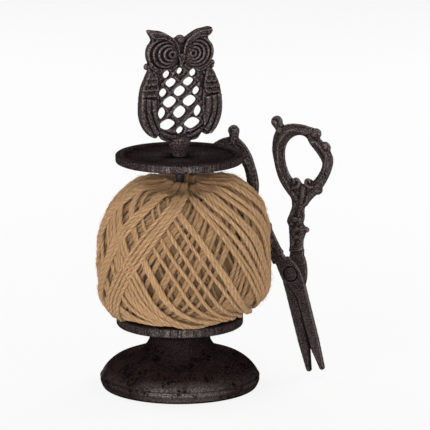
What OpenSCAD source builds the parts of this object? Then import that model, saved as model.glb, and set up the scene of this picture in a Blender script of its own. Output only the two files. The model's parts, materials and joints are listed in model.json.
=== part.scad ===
// Table twine holder of cast iron: a bell foot and plate carry a ball of jute on a threaded rod.
// A dished disc with an openwork owl closes the top, and a pair of cast scissors hangs from its hook.
// Millimetres. The rod stands on the origin, +Z is up and -Y is the side seen from the front.

/* [Foot] */
// Radius of the foot at its rim
foot_r = 45.5; // [42:0.5:54]
// Height of the foot from the table to the plate
foot_h = 36; // [34:0.5:46]
// Height of the upright rim
rim_h = 6; // [4:0.5:8]
// How far the rim stands out past the dome
rim_step = 0.6; // [0.3:0.1:1.2]
// Radius of the fine groove between the rim and the dome
groove_r = 0.6; // [0.3:0.1:1]
// Radius of the dome's curve
dome_r = 21; // [19:0.5:23]
// Depth of the dome curve's centre below the table
dome_drop = 0.5; // [0:0.25:1.5]
// Radius of the neck under the plate
neck_r = 17; // [14:0.5:20]
// Radius of the hollow curve between the neck and the dome
neck_curve_r = 10; // [7:0.5:12]
// Wall of the hollow casting
foot_wall = 4; // [3:0.5:6]
// Radius of the boss inside the foot
boss_r = 12; // [9:0.5:15]
// Height of the boss's face above the table
boss_z = 12; // [11:0.5:14]

/* [Plate and disc] */
// Radius of the plate under the ball
plate_r = 36.3; // [33:0.1:44]
// Thickness of the plate
plate_h = 5.4; // [4.2:0.1:8]
// Radius of the top disc
disc_r = 36.4; // [35:0.1:42]
// Thickness of the top disc
disc_h = 4.7; // [4.2:0.1:8]
// Width of the disc's raised rim
disc_rim_w = 4; // [2.5:0.25:6]
// Depth of the dish inside that rim
dish_depth = 1.5; // [0.5:0.1:2]
// Rounding of both discs' edges
edge_r = 1.8; // [0.8:0.1:2]
// Clear height between the plate and the disc
ball_space = 89.2; // [86:0.2:110]

/* [Rod and nuts] */
// Radius of the threaded rod
rod_r = 3; // [2.5:0.25:3.5]
// Clearance of the rod in the castings
rod_gap = 0.1; // [0.05:0.05:0.3]
// Clearance of the rod in threads
thread_gap = 0.05; // [0.02:0.01:0.1]
// Length of rod left below the base nut
rod_tail = 1.5; // [0.5:0.25:2.5]
// Length of rod that enters the owl
rod_reach = 8; // [6:0.5:8.5]
// Nut width across its flats
nut_w = 10; // [8:0.5:13]
// Nut thickness
nut_h = 5; // [4:0.25:6]
// Washer radius
washer_r = 6; // [5.5:0.25:8]
// Washer thickness
washer_h = 1.6; // [0.8:0.1:2]
// Gap left where a loose part rests on another
seat_gap = 0.1; // [0.05:0.05:0.3]

/* [Ball of twine] */
// Largest radius of the ball
ball_r = 50.9; // [44:0.1:51.2]
// Height of the ball's widest place above the plate
belly_h = 19.6; // [18:0.2:24]
// Height of the ball above its widest place
upper_h = 62.9; // [52:0.1:64]
// Fullness of the ball above its widest place
upper_full = 2.67; // [2:0.01:3]
// Depth of the ball's curve below its widest place
lower_h = 32.3; // [30:0.1:36]
// Fullness of the ball below its widest place
lower_full = 2.06; // [2:0.01:3]
// Distance of the ball's axis from the rod
ball_shift = 3; // [0:0.25:4]
// Radius of the hole through the ball
hole_r = 13; // [12.5:0.5:16]
// Diameter of the twine
twine_d = 3; // [2:0.1:3.2]
// Loops in the outer layer
loops = 24; // [12:1:24]
// Angle round the ball that a strand covers on its way down
strand_sweep = 95; // [45:1:110]
// Clearance between the winding and the core
core_gap = 0.3; // [0.2:0.05:0.6]
// Clearance between the ball and the plate
ball_gap = 0.3; // [0.2:0.05:0.6]

/* [Hook] */
// Radius of the hook's round bar
hook_r = 2.5; // [2:0.1:3]
// Radius of the knob on its end
hook_knob_r = 3.2; // [2.6:0.1:3.4]
// Direction of the hook round the rod
hook_turn = 59; // [50:1:75]
// Distance of the hook's stem from the rod
hook_stem = 31; // [28:0.5:31.5]
// Depth of the hook's arm below the disc
hook_drop = 5.5; // [5.2:0.1:8]
// Distance from the rod to where the scissors hang
hook_reach = 52.1; // [52:0.1:58]
// Length of the arm past the scissors
hook_past = 6.2; // [6:0.1:9]
// Depth of the stem's hole in the disc
hook_seat = 2.4; // [1.5:0.1:2.6]
// Radius of the hook's bend
hook_bend = 3.5; // [3.2:0.1:4.5]

/* [Scissors] */
// Turn of the scissors' plane from facing front
scissor_yaw = 25; // [15:1:35]
// Lean of the scissors to the left
scissor_lean = 15.5; // [8:0.5:20]
// Angle at which the blades stand open
rest_open = 7.5; // [2:0.5:12]
// Gap between a finger ring and the hook
hang_gap = 0.3; // [0.2:0.05:0.6]
// Distance of a finger ring's centre from the pivot along the blade
ring_up = 65.5; // [60:0.5:72]
// Distance of a finger ring's centre from the blade's line
ring_out = 20.5; // [20:0.1:23]
// Width of a finger ring
ring_w = 36.6; // [34:0.2:38]
// Height of a finger ring
ring_h = 42; // [40:0.5:46]
// Width of the finger opening
finger_w = 23; // [18:0.5:24]
// Height of the finger opening
finger_h = 28; // [22:0.5:29]
// Radius of the knob on each ring
knob_r = 3.4; // [2.5:0.1:4]
// Half width of the shank at its waist
shank_w = 3.8; // [3:0.1:4.5]
// Half width of the shank's two collars
collar_w = 5.5; // [4.8:0.1:6]
// Thickness of the handles
handle_t = 5; // [4:0.2:6]
// Depth of the rounded step along the handles' edges
handle_relief = 0.8; // [0.4:0.1:1.2]
// Width of that step
handle_inset = 1.2; // [0.6:0.1:1.5]
// Length of a blade from the pivot
blade_l = 59; // [50:0.5:59.5]
// Width of a blade at the pivot
blade_w = 13; // [12:0.2:15]
// Radius of a blade's tip
tip_r = 1.75; // [1.2:0.05:2.2]
// Width of the ground bevel along the edge
bevel_w = 2.4; // [1:0.1:3]
// Gap between the two blades
lap_gap = 0.2; // [0.1:0.05:0.4]
// Radius of the rivet
rivet_r = 2; // [1.5:0.1:2.5]
// Running clearance on the rivet
rivet_gap = 0.05; // [0.02:0.01:0.1]
// Radius of the rivet's heads
rivet_head_r = 3.45; // [3:0.05:4.5]
// Height of the rivet's front head
rivet_head_h = 1.6; // [1:0.1:2.5]
// Thickness of the washer behind the blades
burr_h = 1; // [0.6:0.1:1.5]

/* [Owl] */
// Direction in which the owl is turned
owl_yaw = 23; // [-45:1:45]
// Width of the owl across its wings
owl_w = 49.2; // [44:0.2:56]
// Height of the owl's ear tips above the disc
owl_h = 72.2; // [66:0.2:84]
// Thickness of the openwork body
owl_t = 4.6; // [3.6:0.2:7]
// How far the wings stand out in front
wing_relief = 1.6; // [0.8:0.1:2.5]
// Width of the openwork between the wings
lattice_w = 27; // [24:0.5:28]
// Width of the largest opening in the body
lattice_hole_w = 8.6; // [6:0.2:9]
// Radius of the round face about each eye
eye_r = 9.6; // [8:0.1:9.8]
// Distance between the pupils
eye_gap = 12.6; // [11:0.2:15]
// How far the pupils stand out in front
eye_relief = 3.2; // [2:0.1:5]
// Rings round each pupil
eye_rings = 4; // [3:1:5]
// How far the brows stand out in front
brow_relief = 2.2; // [1:0.1:3]
// Radius of the ribs between the breast openings
rib_r = 1.2; // [0.8:0.1:1.5]
// Radius of the boss under the owl
owl_boss_r = 6.2; // [5:0.1:7]
// Radius of the boss's flange on the disc
owl_flange_r = 7.2; // [7.1:0.1:11]

/* [Hidden] */
$fn = 64;
iron = [0.17, 0.13, 0.13];
steel = [0.3, 0.29, 0.28];
jute = [0.69, 0.53, 0.35];

// Heights, from the table up
plate_z = foot_h;
plate_top = plate_z + plate_h;
disc_z = plate_top + ball_space;
owl_z = disc_z + disc_h - dish_depth;
base_nut_z = boss_z - washer_h - nut_h;
rod_bottom = base_nut_z - rod_tail;
disc_washer_z = disc_z - seat_gap - washer_h;

// The dome meets the rim's top edge, and the neck's curve is tangent to the neck and to the dome
dome_x = foot_r - rim_step - sqrt(pow(dome_r, 2) - pow(rim_h + dome_drop, 2));
neck_curve_x = neck_r + neck_curve_r;
neck_curve_z = sqrt(pow(dome_r + neck_curve_r, 2) - pow(neck_curve_x - dome_x, 2)) - dome_drop;
meet_share = dome_r / (dome_r + neck_curve_r);
meet_x = dome_x + meet_share * (neck_curve_x - dome_x);
meet_z = meet_share * (neck_curve_z + dome_drop) - dome_drop;

// Depth of the strands' centres and of the core under the ball's surface
belly_z = plate_top + belly_h;
ball_bottom = plate_top + ball_gap;
strand_depth = twine_d / 2;
core_depth = twine_d + core_gap;

// A smooth closed curve through a few points
function spline_at(a, b, c, d, t) =
    ((2 * b) + (c - a) * t + (2 * a - 5 * b + 4 * c - d) * t * t + (3 * b - a - 3 * c + d) * t * t * t) / 2;
function closed_spline(pts, steps = 5) =
    let (n = len(pts))
    [for (i = [0 : n - 1], k = [0 : steps - 1])
        spline_at(pts[(i + n - 1) % n], pts[i], pts[(i + 1) % n], pts[(i + 2) % n], k / steps)];
function open_spline(pts, steps = 5) =
    let (n = len(pts))
    concat(
        [for (i = [0 : n - 2], k = [0 : steps - 1])
            spline_at(pts[max(i - 1, 0)], pts[i], pts[i + 1], pts[min(i + 2, n - 1)], k / steps)],
        [pts[n - 1]]);
function flip(pts) = [for (i = [len(pts) - 1 : -1 : 0]) [-pts[i].x, pts[i].y]];

// Outlines of a finger ring and its opening, as shares of their half widths and heights
ring_shape = [
    [-0.76, 0.86], [-0.97, 0.45], [-1, 0], [-0.88, -0.62], [-0.4, -0.98], [0.1, -1],
    [0.5, -0.8], [0.87, -0.42], [1, -0.03], [0.68, 0.52], [0.42, 0.84], [0, 0.98], [-0.4, 1]
];
finger_shape = [
    [-0.02, 1], [-0.5, 0.88], [-0.86, 0.55], [-1, 0], [-0.86, -0.65], [-0.4, -1],
    [0.2, -1], [0.7, -0.7], [1, -0.3], [0.86, 0.1], [0.55, 0.55], [0.38, 0.88]
];
function ring_points(inset) =
    let (half_w = ring_w / 2 - inset, half_h = ring_h / 2 - inset)
    [for (p = ring_shape) [ring_out + p.x * half_w, ring_up + p.y * half_h]];
function finger_points(inset) =
    let (half_w = finger_w / 2 + inset, half_h = finger_h / 2 + inset)
    [for (p = finger_shape) [ring_out + p.x * half_w, ring_up + p.y * half_h]];

// The front half hangs by the highest point of its finger opening
front_turn = scissor_lean + rest_open / 2;
back_turn = scissor_lean - rest_open / 2;
function front_point(p) =
    [-p.x * cos(front_turn) - p.y * sin(front_turn), -p.x * sin(front_turn) + p.y * cos(front_turn)];
hang_curve = [for (p = closed_spline(finger_points(0))) front_point(p)];
hang_up = max([for (p = hang_curve) p.y]);
hang_side = [for (p = hang_curve) if (p.y == hang_up) p.x][0];
hook_z = disc_z - hook_drop;
pivot_x = hook_reach * cos(hook_turn) - hang_side * cos(scissor_yaw);
pivot_y = hook_reach * sin(hook_turn) + hang_side * sin(scissor_yaw);
pivot_z = hook_z + hook_r + hang_gap - hang_up;

// Shank from the finger ring down to the pivot: share of its height, share of the ring's offset, half width
ring_foot = ring_up - ring_h / 2;
groove_w = 0.82 * collar_w;
shank_line = [
    [1.04, 0.69, 1.5 * shank_w], [0.86, 0.58, shank_w], [0.71, 0.44, collar_w], [0.63, 0.41, groove_w],
    [0.54, 0.43, collar_w], [0.46, 0.36, groove_w], [0.35, 0.3, 1.1 * shank_w], [0.18, 0.2, 1.2 * shank_w]
];
function shank_side(side, inset) =
    [for (s = shank_line) [s[1] * ring_out + side * (s[2] - inset), s[0] * ring_foot]];
// Below this height the halves lap, each half as thick
lap_top = blade_w;
// Outline of a blade near the pivot, as shares of its width, down its back and up its edge
blade_back = [[-0.2, 0.77], [-0.45, 0.23], [-0.53, -0.31], [-0.5, -0.77]];
blade_edge = [[0.12, -1.13], [0.25, -0.69], [0.46, -0.23], [0.55, 0.62]];
blade_mid = [-0.34 * blade_w, -0.7 * blade_l];
edge_low = [0.19 * blade_w, -0.76 * blade_l];
tip = [-0.07 * blade_w, tip_r - blade_l];
edge_top = blade_edge[0] * blade_w;
edge_turn = -atan2(edge_top.x - edge_low.x, edge_top.y - edge_low.y);
bevel_lean = 25;

module rounded_disc(r, h) {
    square([r - edge_r, h]);
    translate([0, edge_r]) square([r, h - 2 * edge_r]);
    for (z = [edge_r, h - edge_r]) translate([r - edge_r, z]) circle(edge_r);
}

module hex_nut(z) {
    translate([0, 0, z]) difference() {
        cylinder(r = nut_w / sqrt(3), h = nut_h, $fn = 6);
        translate([0, 0, -1]) cylinder(r = rod_r + thread_gap, h = nut_h + 2);
    }
}

module flat_washer(z) {
    translate([0, 0, z]) difference() {
        cylinder(r = washer_r, h = washer_h);
        translate([0, 0, -1]) cylinder(r = rod_r + rod_gap, h = washer_h + 2);
    }
}

module base_foot() {
    color(iron) rotate_extrude() difference() {
        union() {
            square([foot_r, rim_h]);
            intersection() {
                translate([dome_x, -dome_drop]) circle(dome_r);
                square([foot_r - rim_step, foot_h]);
            }
            square([dome_x, meet_z]);
            difference() {
                square([meet_x, foot_h]);
                translate([neck_curve_x, neck_curve_z]) circle(neck_curve_r);
                translate([neck_r, neck_curve_z]) square([neck_curve_r * 2, foot_h]);
            }
        }
        square([rod_r + rod_gap, foot_h]);
        translate([foot_r - rim_step, rim_h]) circle(groove_r);
        difference() {
            union() {
                translate([dome_x, -dome_drop]) circle(dome_r - foot_wall);
                square([dome_x, dome_r - dome_drop - foot_wall]);
            }
            translate([0, boss_z]) square([boss_r, foot_h]);
        }
    }
}

module lower_plate() {
    color(iron) translate([0, 0, plate_z]) rotate_extrude() difference() {
        rounded_disc(plate_r, plate_h);
        square([rod_r + rod_gap, plate_h]);
    }
}

module spindle_rod() {
    color(steel) translate([0, 0, rod_bottom])
        cylinder(r = rod_r, h = owl_z + rod_reach - rod_bottom);
}

module base_washer() {
    color(steel) flat_washer(boss_z - washer_h);
}

module base_nut() {
    color(steel) hex_nut(base_nut_z);
}

module plate_nut() {
    color(steel) hex_nut(plate_top);
}

module disc_nut() {
    color(steel) hex_nut(disc_washer_z - nut_h);
}

module disc_washer() {
    color(steel) flat_washer(disc_washer_z);
}

// Radius and height of the ball's curve at an angle, for a surface this deep under the outermost
function ball_curve(angle, depth) =
    let (full = angle < 0 ? lower_full : upper_full)
    let (rise = (angle < 0 ? -lower_h + depth : upper_h - depth) * pow(abs(sin(angle)), 2 / full))
    [(ball_r - depth) * pow(cos(angle), 2 / full), belly_z + rise];

// Angles of that curve at a height below the belly and at a radius above it
function angle_at_height(z, depth) = -asin(pow((belly_z - z) / (lower_h - depth), lower_full / 2));
function angle_at_radius(r, depth) = acos(pow(r / (ball_r - depth), upper_full / 2));
function between(a, b, t) = a + (b - a) * t;
core_steps = 24;

module twine_core() {
    low = ball_bottom + core_depth;
    from = angle_at_height(low, core_depth);
    to = angle_at_radius(hole_r + core_depth, core_depth);
    side = [for (i = [0 : core_steps]) ball_curve(between(from, to, i / core_steps), core_depth)];
    color(jute) translate([ball_shift, 0, 0]) rotate_extrude()
        polygon(concat([[hole_r + core_depth, low]], side));
}

// A loop runs down the outside of the ball, in under it and up again through its hole
rings_down = 16;
rings_under = 4;
rings_inside = 4;
rings_out = rings_down + rings_under;
rings_per_loop = rings_out + rings_inside;
strand_low = [hole_r + strand_depth, ball_bottom + strand_depth];
strand_from = angle_at_radius(strand_low.x, strand_depth);
strand_to = angle_at_height(strand_low.y, strand_depth);
function loop_side(i) =
    i <= rings_down ? ball_curve(between(strand_from, strand_to, i / rings_down), strand_depth)
    : i <= rings_out
        ? between(ball_curve(strand_to, strand_depth), strand_low, (i - rings_down) / rings_under)
    : between(strand_low, ball_curve(strand_from, strand_depth), (i - rings_out) / rings_inside);
function strand(i) =
    let (k = i % rings_per_loop)
    let (pitch = 360 / loops)
    let (swept = strand_sweep * min(k, rings_out) / rings_out)
    let (back = (strand_sweep - pitch) * max(k - rings_out, 0) / rings_inside)
    let (turn = pitch * floor(i / rings_per_loop) + swept - back)
    let (at = loop_side(k))
    [at.x * cos(turn), at.x * sin(turn), at.y];

function unit(v) = v / norm(v);

// Least distance between one loop and the rest of the winding, less the twine's diameter
function least_gap(route, near) =
    let (parts = 4)
    let (pts = [for (i = [0 : len(route) - 2], k = [0 : parts - 1])
        between(route[i], route[i + 1], k / parts)])
    let (first = parts * floor(len(route) / 2))
    min([for (i = [first : first + parts * rings_per_loop], j = [0 : len(pts) - 1])
        if (abs(i - j) > near * parts) norm(pts[i] - pts[j])]) - twine_d;

module twine_winding() {
    sides = 6;
    last = loops * rings_per_loop - rings_inside;
    turns = [for (i = [0 : last]) strand(i)];
    head = turns[0] - twine_d * unit(turns[1] - turns[0]);
    tail = turns[last] + twine_d * unit(turns[last] - turns[last - 1]);
    route = concat([head], turns, [tail]);
    n = len(route);
    middle = [0, 0, belly_z];
    pts = [for (i = [0 : n - 1])
        let (along = unit(route[min(i + 1, n - 1)] - route[max(i - 1, 0)]))
        let (side = unit(cross(along, route[i] - middle)))
        let (out = cross(side, along))
        for (k = [0 : sides - 1])
            route[i] + twine_d / 2 * (side * cos(360 * k / sides) + out * sin(360 * k / sides))];
    skin = [for (i = [0 : n - 2], k = [0 : sides - 1])
        let (a = i * sides + k)
        let (b = i * sides + (k + 1) % sides)
        each [[a, b, b + sides], [a, b + sides, a + sides]]];
    ends = [for (k = [1 : sides - 2])
        each [[0, k + 1, k], [(n - 1) * sides, (n - 1) * sides + k, (n - 1) * sides + k + 1]]];
    echo(least_gap_of_winding = least_gap(route, 3));
    color(jute) translate([ball_shift, 0, 0]) polyhedron(pts, concat(skin, ends));
}

module top_disc() {
    color(iron) difference() {
        translate([0, 0, disc_z]) rotate_extrude() difference() {
            rounded_disc(disc_r, disc_h);
            square([rod_r + rod_gap, disc_h]);
            translate([0, disc_h - dish_depth])
                polygon([
                    [0, 0], [disc_r - disc_rim_w - dish_depth, 0],
                    [disc_r - disc_rim_w, dish_depth], [0, dish_depth]
                ]);
        }
        rotate(hook_turn) translate([hook_stem, 0, disc_z - 1])
            cylinder(r = hook_r + rod_gap, h = hook_seat + 1);
    }
}

module scissor_hook() {
    arm_from = hook_stem + hook_bend;
    arm_to = hook_reach + hook_past;
    color(iron) rotate(hook_turn) {
        translate([hook_stem, 0, hook_z + hook_bend])
            cylinder(r = hook_r, h = hook_drop - hook_bend + hook_seat);
        translate([arm_from, 0, hook_z + hook_bend]) rotate([90, 0, 0]) rotate([0, 0, 180])
            rotate_extrude(angle = 90) translate([hook_bend, 0]) circle(hook_r);
        translate([arm_from, 0, hook_z]) rotate([0, 90, 0]) cylinder(r = hook_r, h = arm_to - arm_from);
        translate([arm_to, 0, hook_z]) sphere(hook_knob_r);
    }
}

module shank_shape(inset) {
    left = open_spline(shank_side(-1, inset), 4);
    right = open_spline(shank_side(1, inset), 4);
    polygon(concat(left, [for (i = [len(right) - 1 : -1 : 0]) right[i]]));
}

// One handle seen from the front, drawn smaller for its raised middle
module handle_shape(inset) {
    half_w = ring_w / 2;
    half_h = ring_h / 2;
    knobs = [[-0.66, 1.12, 1], [-0.6, 0.98, 0.75], [0.6, 0.64, 0.9], [0.83, 0.22, 0.9], [0.3, -0.9, 0.85]];
    curls = [[-0.36, -0.69, 0.8], [0.06, -0.69, 0.7]];
    difference() {
        union() {
            polygon(closed_spline(ring_points(inset)));
            for (k = knobs) translate([ring_out + k.x * half_w, ring_up + k.y * half_h])
                circle(knob_r * k.z - inset / 2);
            shank_shape(inset);
        }
        polygon(closed_spline(finger_points(inset)));
    }
    for (k = curls) translate([ring_out + k.x * half_w, ring_up + k.y * half_h])
        circle(knob_r * k.z - inset / 2);
}

module blade_shape() {
    polygon(concat(
        open_spline(blade_back * blade_w, 6),
        [blade_mid, tip - [tip_r, 0], tip + [tip_r, 0], edge_low],
        open_spline(blade_edge * blade_w, 6)));
    translate(tip) circle(tip_r);
}

// One half with its blade pointing down, its ring on the right and its blade behind
module scissor_half() {
    big = ring_up * 4;
    difference() {
        union() {
            for (layer = [[0, handle_t - 2 * handle_relief], [handle_inset, handle_t]])
                translate([0, 0, -layer[1] / 2]) linear_extrude(layer[1]) difference() {
                    handle_shape(layer[0]);
                    translate([-big, lap_top - 2 * big]) square(2 * big);
                }
            translate([0, 0, -handle_t / 2]) linear_extrude(handle_t / 2 - lap_gap / 2) {
                blade_shape();
                intersection() {
                    shank_shape(0);
                    translate([-big, lap_top - 2 * big]) square(2 * big);
                }
            }
        }
        cylinder(r = rivet_r + rivet_gap, h = 2 * handle_t, center = true);
        translate([edge_top.x - bevel_w, edge_top.y, -handle_t / 2]) rotate([0, bevel_lean, edge_turn])
            translate([0, -big, -big]) cube(big);
    }
}

module on_scissors() {
    translate([pivot_x, pivot_y, pivot_z]) rotate([90, 0, -scissor_yaw]) children();
}

module front_scissor_half() {
    color(iron) on_scissors() rotate(front_turn) rotate([0, 180, 0]) scissor_half();
}

module back_scissor_half() {
    color(iron) on_scissors() rotate(back_turn) scissor_half();
}

module pivot_rivet() {
    dome = (pow(rivet_head_r, 2) + pow(rivet_head_h, 2)) / (2 * rivet_head_h);
    rivet_tail_r = (rivet_r + rivet_head_r) / 2;
    color(iron) on_scissors() {
        translate([0, 0, -handle_t / 2 - burr_h]) cylinder(r = rivet_r, h = handle_t + burr_h);
        translate([0, 0, handle_t / 2]) rotate_extrude() intersection() {
            translate([0, rivet_head_h - dome]) circle(dome);
            square([rivet_head_r, rivet_head_h]);
        }
        translate([0, 0, -handle_t / 2 - burr_h - rivet_r / 2])
            cylinder(r1 = rivet_r, r2 = rivet_tail_r, h = rivet_r / 2);
    }
}

module rivet_washer() {
    color(iron) on_scissors() translate([0, 0, -handle_t / 2 - burr_h]) difference() {
        cylinder(r = rivet_head_r, h = burr_h);
        translate([0, 0, -1]) cylinder(r = rivet_r + rivet_gap, h = burr_h + 2);
    }
}

// Right half of the owl's outline, from the bottom up, as shares of half its width and of its height
owl_side = [
    [0, 0.105], [0.2, 0.104], [0.41, 0.113], [0.55, 0.168], [0.67, 0.143], [0.86, 0.2], [0.98, 0.29],
    [1, 0.39], [0.96, 0.52], [0.87, 0.6], [0.77, 0.676], [0.82, 0.706], [0.76, 0.736], [0.815, 0.8],
    [0.78, 0.865], [0.685, 0.92], [0.79, 1], [0.58, 0.996], [0.42, 0.985], [0.27, 0.955], [0.12, 0.925], [0, 0.95]
];
wing_side = [
    [0.56, 0.175], [0.67, 0.143], [0.86, 0.2], [0.98, 0.29], [1, 0.39], [0.96, 0.52], [0.87, 0.6],
    [0.76, 0.67], [0.62, 0.65], [0.56, 0.5], [0.54, 0.34]
];
// A brow, from the ear's tip along its upper edge to the beak and back
brow_side = [
    [0.77, 0.99], [0.58, 0.99], [0.42, 0.98], [0.27, 0.95], [0.14, 0.91], [0.07, 0.86], [0.04, 0.79],
    [0.03, 0.73], [0.1, 0.79], [0.15, 0.845], [0.26, 0.895], [0.43, 0.932], [0.6, 0.935], [0.7, 0.945]
];
function owl_place(p) = [p.x * owl_w / 2, p.y * owl_h];
eye_up = 0.803 * owl_h;
face_x = 0.425 * owl_w;

// Openings between the breast feathers: rows from the top, place from the middle, height, size
lattice = [
    [0, 0.65, 0.45], [0.61, 0.63, 0.52], [0.39, 0.565, 0.76], [0, 0.492, 0.8], [0.74, 0.487, 0.55],
    [0.44, 0.411, 0.93], [0, 0.324, 0.92], [0.8, 0.326, 0.62], [0.56, 0.236, 1], [0, 0.18, 0.52]
];
hole_slim = 0.78;
hole_sides = 20;
// Fullness of an opening, between a diamond at 1 and an ellipse at 2
hole_full = 1.6;

module feather_opening(w) {
    polygon([for (k = [0 : hole_sides - 1])
        let (a = 360 * k / hole_sides)
        let (r = w / 2 / pow(pow(abs(cos(a)), hole_full) + pow(abs(sin(a)), hole_full), 1 / hole_full))
        [r * cos(a), r * sin(a) * hole_slim]]);
}

module owl_body() {
    side = open_spline([for (p = owl_side) owl_place(p)], 4);
    linear_extrude(owl_t) difference() {
        polygon(concat(side, flip(side)));
        for (h = lattice, m = h.x == 0 ? [1] : [-1, 1])
            translate([m * h.x * lattice_w / 2, h.y * owl_h]) feather_opening(h.z * lattice_hole_w);
    }
}

// Ribs that run down to one side between the openings, from and to, in the openings' own shares
ribs = [
    [[-1, 0.249], [-0.36, 0.175]], [[-0.93, 0.409], [0.34, 0.179]], [[-0.86, 0.558], [0.98, 0.252]],
    [[-0.39, 0.641], [0.93, 0.409]], [[0.16, 0.681], [0.86, 0.558]]
];
function lattice_place(p) = [p.x * lattice_w / 2, p.y * owl_h];

module rib(from, to) {
    run = to - from;
    translate(from) rotate([0, 90, atan2(run.y, run.x)]) cylinder(r = rib_r, h = norm(run));
}

// Depth of each way of ribs in the body, in their radii: those that rise to the right pass over the others
rib_sink = [0.6, 0.1];

module owl_breast() {
    for (m = [0, 1], r = ribs)
        translate([0, 0, owl_t - rib_sink[m] * rib_r]) mirror([m, 0, 0])
            rib(lattice_place(r[0]), lattice_place(r[1]));
}

// Rows of round feathers on a wing's shoulder, the first one and the steps in the outline's shares
feather_r = owl_w / 20;
feather_tilt = 14;
feather_rows = 4;
feather_columns = 4;
feather_from = [0.62, 0.64];
feather_step = [0.13, -0.045];
// Long feathers below them: arcs about one middle, with their radii as shares of the owl's half width
long_feather_r = owl_w / 27;
long_feather_mid = [-0.26 * owl_w / 2, 0.4 * owl_h];
long_feather_curves = [1.22, 1.08, 0.94];
long_feather_from = -37;
long_feather_sweep = 46;

// A wing is a raised leaf, with round feathers stepping down over its shoulder to the long ones
module owl_wing() {
    leaf = closed_spline([for (p = wing_side) owl_place(p)], 4);
    linear_extrude(owl_t + wing_relief / 2) polygon(leaf);
    intersection() {
        linear_extrude(owl_t + 2 * wing_relief) polygon(leaf);
        translate([0, 0, owl_t + wing_relief / 2]) {
            for (row = [0 : feather_rows - 1], column = [0 : feather_columns - 1])
                translate(owl_place(feather_from + [
                    feather_step.x * (column + (row % 2) / 2), feather_step.y * row
                ]))
                    rotate([-feather_tilt, 0, 0]) cylinder(r = feather_r, h = wing_relief, center = true);
            for (k = long_feather_curves) translate(long_feather_mid) rotate(long_feather_from)
                rotate_extrude(angle = long_feather_sweep)
                    translate([k * owl_w / 2, 0]) circle(long_feather_r);
        }
    }
}

// Each face is a skewed cone of steps up to the pupil, with a bead round every step
eye_bead_r = 0.08 * eye_r;
eye_bead_inset = 0.7 * eye_bead_r;
pupil_share = 0.22;
// Folds of the collar under a face: start, sweep, and distance off the face in their own radii
collar_r = 0.09 * eye_r;
collar_folds = [[-140, 105, 0.9], [-75, 35, 3.2]];
collar_knob = [0.8, 0.706];
collar_knob_r = 0.04 * owl_w;

module owl_face() {
    for (k = [0 : eye_rings]) {
        t = k / eye_rings;
        r = eye_r * between(1, pupil_share, t);
        h = owl_t + eye_relief * t;
        translate([between(face_x, eye_gap, t) / 2, eye_up, 0]) {
            cylinder(r = r, h = h);
            translate([0, 0, h]) rotate_extrude() translate([r - eye_bead_inset, 0]) circle(eye_bead_r);
        }
    }
    linear_extrude(owl_t + brow_relief) polygon(closed_spline([for (p = brow_side) owl_place(p)], 4));
    for (f = collar_folds) translate([face_x / 2, eye_up, owl_t]) rotate(f[0])
        rotate_extrude(angle = f[1]) translate([eye_r + f[2] * collar_r, 0]) circle(collar_r);
    translate(concat(owl_place(collar_knob), owl_t / 2)) sphere(collar_knob_r);
}

// The beak stands between the faces, a round tuft above it, and a curved perch below the openings
beak_from = [0, 0.7];
beak_l = 0.1 * owl_h;
beak_r = [0.1 * eye_r, 0.16 * eye_r];
tuft = [0, 0.918];
tuft_r = 0.055 * owl_w;
perch_up = 0.134 * owl_h;
perch_r = 0.43 * owl_w;
perch_turn = 39;

module owl_middle() {
    translate(concat(owl_place(beak_from), owl_t + eye_relief / 4)) rotate([-90, 0, 0])
        cylinder(r1 = beak_r[0], r2 = beak_r[1], h = beak_l);
    translate(concat(owl_place(tuft), 0.8 * owl_t)) sphere(tuft_r);
    translate([0, perch_up + perch_r, owl_t]) rotate(-90 - perch_turn)
        rotate_extrude(angle = 2 * perch_turn) translate([perch_r, 0]) circle(rib_r);
}

module owl_boss() {
    waist_z = dish_depth + 0.03 * owl_h;
    shoulder_z = dish_depth + 0.122 * owl_h;
    top_z = dish_depth + 0.15 * owl_h;
    rotate_extrude() polygon([
        [0, 0], [owl_flange_r, 0], [owl_flange_r, dish_depth], [owl_boss_r, waist_z],
        [owl_boss_r, shoulder_z], [0, top_z]
    ]);
}

module owl_finial() {
    color(iron) translate([0, 0, owl_z]) rotate(owl_yaw) difference() {
        union() {
            translate([0, owl_t / 2, dish_depth]) rotate([90, 0, 0]) {
                owl_body();
                owl_breast();
                owl_middle();
                for (m = [0, 1]) mirror([m, 0, 0]) {
                    owl_wing();
                    owl_face();
                }
            }
            owl_boss();
        }
        translate([0, 0, -1]) cylinder(r = rod_r + thread_gap, h = rod_reach + 2);
    }
}

base_foot();
lower_plate();
spindle_rod();
base_washer();
base_nut();
plate_nut();
disc_nut();
disc_washer();
twine_core();
twine_winding();
top_disc();
scissor_hook();
owl_finial();
front_scissor_half();
back_scissor_half();
pivot_rivet();
rivet_washer();
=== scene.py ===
import json
import math
import random

import bmesh
import bpy
import numpy as np
from mathutils import Matrix, Vector, noise


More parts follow.
